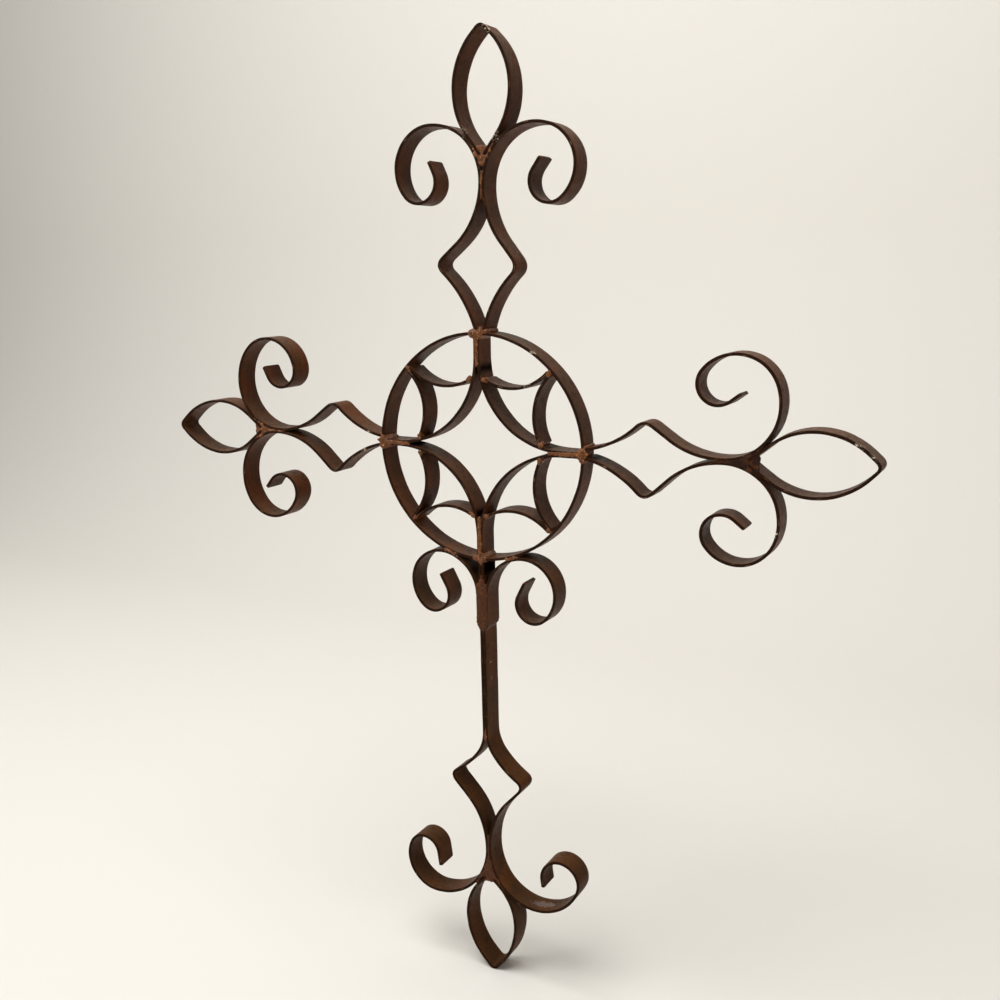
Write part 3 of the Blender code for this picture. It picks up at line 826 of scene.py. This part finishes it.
def agedIron(name, look):
    # hot bent mild steel strip, rusted brown and then waxed: dark mottled brown with a soft sheen,
    # redder where the rust is thick, greyed on top by dust and by a painted sheen of the light from above,
    # near black on the sheared front edges, with painted shade in the hollows, a pale line on the corners
    # that is partly scrapes and partly a painted highlight, and a painted sheen on the wax run
    material = bpy.data.materials.new(name)
    material.use_nodes = True
    tree = material.node_tree
    shader = tree.nodes["Principled BSDF"]
    place = addNode(tree, "ShaderNodeTexCoord").outputs["Object"]
    along = addNode(tree, "ShaderNodeAttribute", {"attribute_name": "alongBar"}).outputs["Vector"]
    marks = {}
    for mark in surfaceMarks:
        marks[mark] = addNode(tree, "ShaderNodeAttribute", {"attribute_name": mark}).outputs["Fac"]

    clouds = noiseAt(tree, place, 1 / 0.028, 4.0, 0.55)  # patches about 30 mm wide
    base = mixed(tree, ramp(tree, clouds, 0.40, 0.62), look["brown"], look["red"])

    rolled = stretchAlong(tree, along, 0.045, 0.0022)  # rolling marks 45 mm long and 2 mm wide
    streaks = noiseAt(tree, rolled, 1.0, 3.0, 0.6)
    greyed = over(tree, base, ramp(tree, streaks, 0.48, 0.78, look["worn"]), look["grey"])
    # top-facing faces greyed by dust and by a painted sheen of the light from above
    dustAndSheenOnTop = ramp(tree, marks["dustAndSheen"], 0.25, 0.95, look["dustAndSheenShare"])
    swept = combined(tree, "MULTIPLY", dustAndSheenOnTop, ramp(tree, streaks, 0.25, 0.65, 1.0, 0.55))
    dustedAndSheened = over(tree, greyed, swept, look["dustAndSheenColour"])

    freckles = noiseAt(tree, place, 1 / 0.0035, 5.0, 0.65)  # rust spots of 3 to 4 mm
    spotted = over(tree, dustedAndSheened, ramp(tree, freckles, 0.53, 0.72, 0.55), look["dark"])
    heated = combined(tree, "MULTIPLY", marks["weldHeat"], ramp(tree, clouds, 0.38, 0.55, 0.9, 0.15))
    bloom = combined(tree, "MULTIPLY", ramp(tree, freckles, 0.38, 0.62), heated)
    rusted = over(tree, spotted, bloom, look["rust"])

    # painted shade: near black in the hollows and crotches
    paintedShadeOver = over(tree, rusted, ramp(tree, marks["paintedShade"], 0.0, 0.5, 0.97), look["paintedShade"])

    depth = addNode(tree, "ShaderNodeSeparateXYZ", None, {0: along}).outputs["Y"]
    edged = over(tree, paintedShadeOver, ramp(tree, depth, 0.0007, 0.00005, look["edge"]), look["dark"])
    fromBack = [barStock["width"] - inset for inset in (0.0007, 0.00005)]
    behind = over(tree, edged, ramp(tree, depth, *fromBack, look["edge"]), look["dark"])

    scratchPlace = stretchAlong(tree, along, 0.010, 0.0012)  # scrapes about 10 mm long
    scratch = noiseAt(tree, scratchPlace, 1.0, 4.0, 0.7)
    # pale line on the rolled corners: scrapes, and a painted highlight where a corner catches the light
    corner = ramp(tree, marks["rim"], 0.55, 0.95)
    scrapesAndGlints = ramp(tree, scratch, look["scrapedAndGlinting"], look["scrapedAndGlinting"] + 0.10, 0.9)
    scrapedAndGlinting = over(tree, behind, combined(tree, "MULTIPLY", scrapesAndGlints, corner), look["scrapeAndGlintColour"])

    flaking = noiseAt(tree, place, 1 / 0.0016, 3.0, 0.6)  # knocked off flakes 1 to 2 mm wide
    knocked = ramp(tree, marks["chipped"], 0.0, 0.35)
    loss = combined(tree, "MULTIPLY", knocked, ramp(tree, flaking, 0.52, 0.60, 0.9))
    # the wax run: real gloss, with its colour greyed and lightened as a painted sheen
    waxed = over(tree, scrapedAndGlinting, ramp(tree, marks["waxAndSheen"], 0.0, 0.4, 0.6), look["waxSheenColour"])
    tree.links.new(over(tree, waxed, loss, look["bare"]), shader.inputs["Base Color"])

    uneven = ramp(tree, freckles, 0.3, 0.7, look["rough"] + 0.14, look["rough"] - 0.08)
    smooth = ramp(tree, marks["waxAndSheen"], 0.0, 0.6, 0.45, 1.0)
    tree.links.new(combined(tree, "MULTIPLY", uneven, smooth), shader.inputs["Roughness"])
    shader.inputs["Metallic"].default_value = 0.0
    # less reflection where the shade is painted
    glossOutsideShade = ramp(tree, marks["paintedShade"], 0.0, 0.5, 0.0, look["gloss"])
    glossed = combined(tree, "MAXIMUM", glossOutsideShade, ramp(tree, marks["waxAndSheen"], 0.0, 0.4, 0.32))
    tree.links.new(glossed, shader.inputs["Specular IOR Level"])

    grain = noiseAt(tree, place, 1 / 0.0009, 3.0, 0.5)  # scale and pits under 1 mm
    relief = combined(tree, "ADD", grain, freckles)
    bump = addNode(tree, "ShaderNodeBump", {"Strength": 0.4, "Distance": 0.00022}, {"Height": relief})
    tree.links.new(bump.outputs["Normal"], shader.inputs["Normal"])
    return material


def weldMetal(name, look):
    # mild steel weld, rusted and waxed with the bars: the same brown, orange in places, with tan specks
    # painted as glints of light
    material = bpy.data.materials.new(name)
    material.use_nodes = True
    tree = material.node_tree
    shader = tree.nodes["Principled BSDF"]
    place = addNode(tree, "ShaderNodeTexCoord").outputs["Object"]
    patches = noiseAt(tree, place, 1 / 0.007, 4.0, 0.6)  # rust patches of 7 mm
    base = mixed(tree, ramp(tree, patches, 0.47, 0.64), look["brown"], look["rust"])
    flecks = noiseAt(tree, place, 1 / 0.0013, 2.0, 0.6)  # pits, and painted glints, of about 1 mm
    pitted = over(tree, base, ramp(tree, flecks, 0.42, 0.30, 0.8), look["pit"])
    # tan specks: painted highlights for the glints of light on the bead
    colour = over(tree, pitted, ramp(tree, flecks, look["flecks"], look["flecks"] + 0.04), look["paintedGlint"])
    tree.links.new(colour, shader.inputs["Base Color"])
    shader.inputs["Metallic"].default_value = 0.0
    shader.inputs["Specular IOR Level"].default_value = look["gloss"]
    shader.inputs["Roughness"].default_value = look["rough"]
    bump = addNode(tree, "ShaderNodeBump", {"Strength": 0.45, "Distance": 0.0003}, {"Height": flecks})
    tree.links.new(bump.outputs["Normal"], shader.inputs["Normal"])
    return material


ironLook = {
    "brown": "422510",
    "red": "53290c",
    "grey": "4a3220",
    "worn": 0.40,
    "dustAndSheenShare": 0.30,
    "dustAndSheenColour": "644932",
    "dark": "150a05",
    "paintedShade": "0a0503",
    "edge": 0.80,
    "rust": "704120",
    "scrapeAndGlintColour": "b08762",
    "scrapedAndGlinting": 0.61,
    "bare": "d6c0a6",
    "waxSheenColour": "5f4440",
    "rough": 0.42,
    "gloss": 0.06,
}
weldLook = {
    "brown": "643c20",
    "rust": "874f28",
    "pit": "150a06",
    "paintedGlint": "c8a07a",
    "flecks": 0.65,
    "gloss": 0.20,
    "rough": 0.36,
}
# a darker copy of the weld, used in the right leaf's crotch and on the burr
darkerWeldLook = {**weldLook, "brown": "2b1811", "rust": "5a331c", "flecks": 0.80, "gloss": 0.12}
plateLook = {**weldLook, "brown": "4a2c1b", "rust": "5e361c", "flecks": 0.72, "gloss": 0.10, "rough": 0.5}

ringIron = agedIron("Ring iron, rusted and waxed", ironLook)
starIron = agedIron("Star iron, rusted and waxed", {**ironLook, "red": "552a0e"})
petalIron = agedIron("Petal iron, rusted and waxed", {**ironLook, "brown": "3f230f"})
barIron = agedIron("Scroll bar iron, rusted and waxed", ironLook)
leafIron = agedIron("Leaf iron, rusted and waxed", {**ironLook, "grey": "523c2c"})
# a darker, warmer copy of the iron for the foot: painted warm light from the floor
footWarmLightLook = {**ironLook, "brown": "3c230e", "red": "4d290b", "grey": "432e1b", "dustAndSheenShare": 0.20, "gloss": 0.04}
footWarmLightIron = agedIron("Foot bar iron, rusted and waxed, painted warm light", footWarmLightLook)
footLeafWarmLightIron = agedIron("Foot leaf iron, rusted and waxed", {**footWarmLightLook, "grey": "47301c"})
smallIron = agedIron("Small scroll iron, rusted and waxed", {**ironLook, "brown": "3f240f", "red": "50290d"})
beadIron = weldMetal("Weld bead, rusted", weldLook)
darkerWeldIron = weldMetal("Weld bead, darker", darkerWeldLook)
plateIron = weldMetal("Weld plate, rusted and waxed", plateLook)
weldFinishes = {
    "weld_leaf_right": darkerWeldIron,
    "burr_scroll_right": darkerWeldIron,
    "weld_stem": plateIron,
    "weld_leaf_bottom": plateIron,
}
print("finishes made")

bendBar("ring", ringRoute(), 0, ringIron, closed=True)
for place, turn in quarterTurns.items():
    bendBar("star_arc_" + place, starRoute(), turn, starIron)
    bendBar("petal_" + place, petalRoute(petal["shift"][place]), turn, petalIron)
print("ring, star and petals bent")

for armName, arm in arms.items():
    foot = armName == "bottom"
    makeRoute = footBarRoute if foot else shortBarRoute
    for index, (node, bend) in enumerate(arm["bars"].items()):
        route = sized(makeRoute(bend), arm["size"])
        iron = footWarmLightIron if foot else barIron
        bendBar(node, mirrorRoute(route) if index == 0 else route, arm["turn"], iron)
    bendBar(armName + "_leaf", arm["leafRoute"], arm["turn"], footLeafWarmLightIron if foot else leafIron)
bendBar("small_scroll_right", mirrorRoute(smallRoute), arms["bottom"]["turn"], smallIron)
bendBar("small_scroll_left", smallRoute, arms["bottom"]["turn"], smallIron)
print("arms, leaves and small scrolls bent")

for name, spots in welds.items():
    meltBead(name, spots, weldFinishes.get(name, beadIron))
print("welds laid:", len(welds))

# a plain pale studio sweep
studio = {"floor": "e6e2da", "near": -2.5, "behind": 1.5, "top": 2.5, "half": 3.0, "sweep": 0.7}
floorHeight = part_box("bottom_leaf")[0].z - 0.0005
sweep = bmesh.new()
leftEdge, flatEnd = -studio["half"], studio["behind"] - studio["sweep"]
profile = [Vector((leftEdge, studio["near"], floorHeight)), Vector((leftEdge, flatEnd, floorHeight))]
for i in range(1, 25):
    angle = math.pi / 2 * i / 24
    out, up = studio["sweep"] * math.sin(angle), studio["sweep"] * (1 - math.cos(angle))
    profile.append(Vector((leftEdge, flatEnd + out, floorHeight + up)))
profile.append(Vector((leftEdge, studio["behind"], studio["top"])))
line = [sweep.verts.new(spot) for spot in profile]
swept = bmesh.ops.extrude_edge_only(sweep, edges=[sweep.edges.new(pair) for pair in zip(line, line[1:])])
rightEdge = [item for item in swept["geom"] if isinstance(item, bmesh.types.BMVert)]
bmesh.ops.translate(sweep, verts=rightEdge, vec=(2 * studio["half"], 0, 0))
bmesh.ops.recalc_face_normals(sweep, faces=sweep.faces[:])
sweepMesh = bpy.data.meshes.new("studio_sweep")
sweep.to_mesh(sweepMesh)
sweep.free()
sweepMesh.shade_smooth()
paper = bpy.data.materials.new("Matte studio paper")
paper.use_nodes = True
paper.node_tree.nodes["Principled BSDF"].inputs["Base Color"].default_value = tint(studio["floor"])
paper.node_tree.nodes["Principled BSDF"].inputs["Roughness"].default_value = 0.9
sweepMesh.materials.append(paper)
backdrop = bpy.data.objects.new("studio_sweep", sweepMesh)
bpy.context.scene.collection.objects.link(backdrop)

# soft light: a wide soft box overhead, a weaker one on each side in front, and one for the paper behind
softLights = {
    "overhead": {"place": (-0.15, -0.6, 1.5), "aim": (0, 0, -0.35), "size": 1.6, "watts": 42},
    "window": {"place": (-1.7, -1.5, 0.6), "aim": (-0.4, 0.3, -0.2), "size": 1.8, "watts": 18},
    "fill": {"place": (1.9, -1.2, 0.2), "aim": (0, 0, -0.35), "size": 1.6, "watts": 7},
    "paper": {"place": (-1.0, 0.1, 1.6), "aim": (-0.7, 1.5, 0.1), "size": 1.4, "watts": 11},
}
for name, lamp in softLights.items():
    data = bpy.data.lights.new(name, "AREA")
    data.size = lamp["size"]
    data.energy = lamp["watts"]
    light = bpy.data.objects.new(name, data)
    light.location = lamp["place"]
    light.rotation_euler = (Vector(lamp["aim"]) - Vector(lamp["place"])).to_track_quat("-Z", "Y").to_euler()
    bpy.context.scene.collection.objects.link(light)

world = bpy.data.worlds.new("Soft room light")
bpy.context.scene.world = world
world.use_nodes = True
world.node_tree.nodes["Background"].inputs["Color"].default_value = tint("f4f2ee")
world.node_tree.nodes["Background"].inputs["Strength"].default_value = 0.18
bpy.context.scene.view_settings.view_transform = "Standard"
print("stage and lights set")
